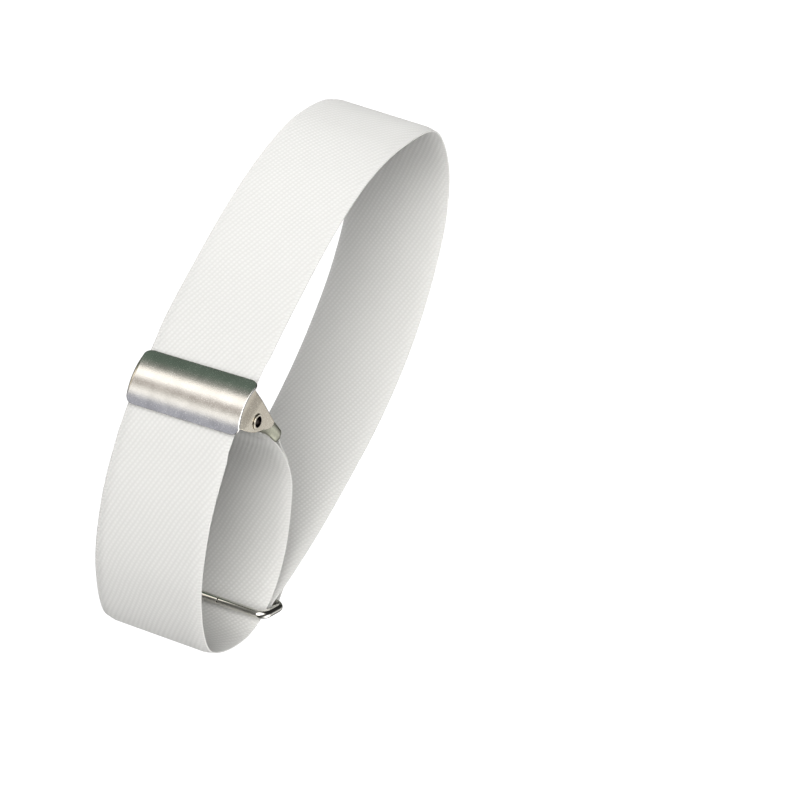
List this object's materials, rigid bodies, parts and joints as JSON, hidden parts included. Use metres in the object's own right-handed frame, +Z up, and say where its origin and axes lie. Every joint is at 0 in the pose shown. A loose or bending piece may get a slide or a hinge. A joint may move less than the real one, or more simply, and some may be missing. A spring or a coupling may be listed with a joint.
{
  "type": "shirt sleeve holder",
  "caption": "Elastic armband that holds up a shirt sleeve, its strap doubled through a wire ring and gripped by a small nickel lever buckle.",
  "frame": {"origin": "under the middle of the whole, on the table that the band lies on", "axes": "+X along the loop's length towards the end with the wire ring, +Y across the loop to the side away from the buckle, +Z up, along the arm that the band goes round"},
  "size_m": [0.1226, 0.0586, 0.0295],
  "materials": {
    "white_elastic": "white woven twill elastic, matt",
    "satin_nickel": "satin nickel plate with a fine speckle",
    "warm_nickel": "warm nickel plate, half bright",
    "bright_nickel": "bright nickel plate"
  },
  "bodies": {
    "root": {"elastic_band": "white_elastic", "cover_plate": "satin_nickel", "buckle_frame": "warm_nickel", "grip_lever": "bright_nickel", "wire_ring": "bright_nickel", "rivet_upper": "warm_nickel", "rivet_lower": "warm_nickel"}
  },
  "joints": []
}
